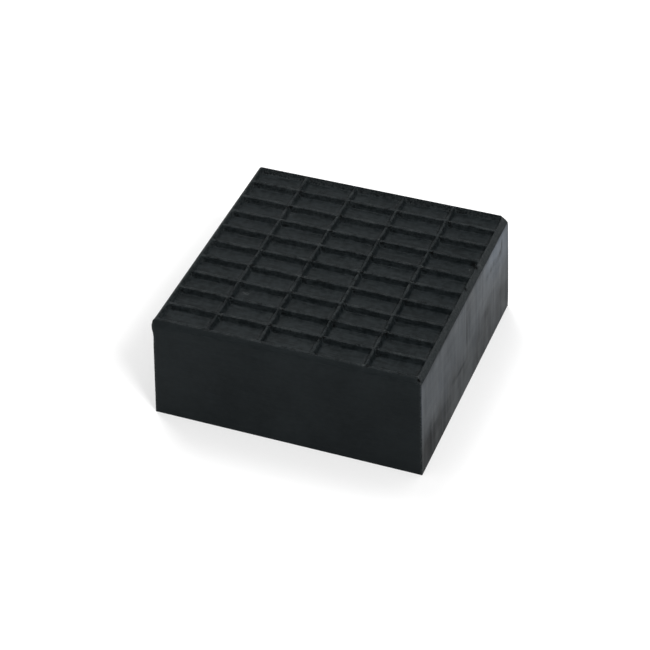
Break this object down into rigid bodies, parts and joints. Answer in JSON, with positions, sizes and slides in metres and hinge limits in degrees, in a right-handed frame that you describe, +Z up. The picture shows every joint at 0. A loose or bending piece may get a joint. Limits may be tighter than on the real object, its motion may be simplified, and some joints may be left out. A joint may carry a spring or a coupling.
{
  "type": "lift arm rubber pad",
  "caption": "Square moulded rubber pad with drafted sides and a load face of shallow rectangular pockets between thin ribs.",
  "frame": {"origin": "middle of the base, on the surface that the pad rests on", "axes": "+Z up through the load face, -Y towards the viewer of the picture, +X the side with the trimmed top edge"},
  "size_m": [0.121, 0.121, 0.05],
  "materials": {
    "rubber": "semi-matt moulded black rubber"
  },
  "bodies": {
    "root": {"pad_block": "rubber"}
  },
  "joints": []
}
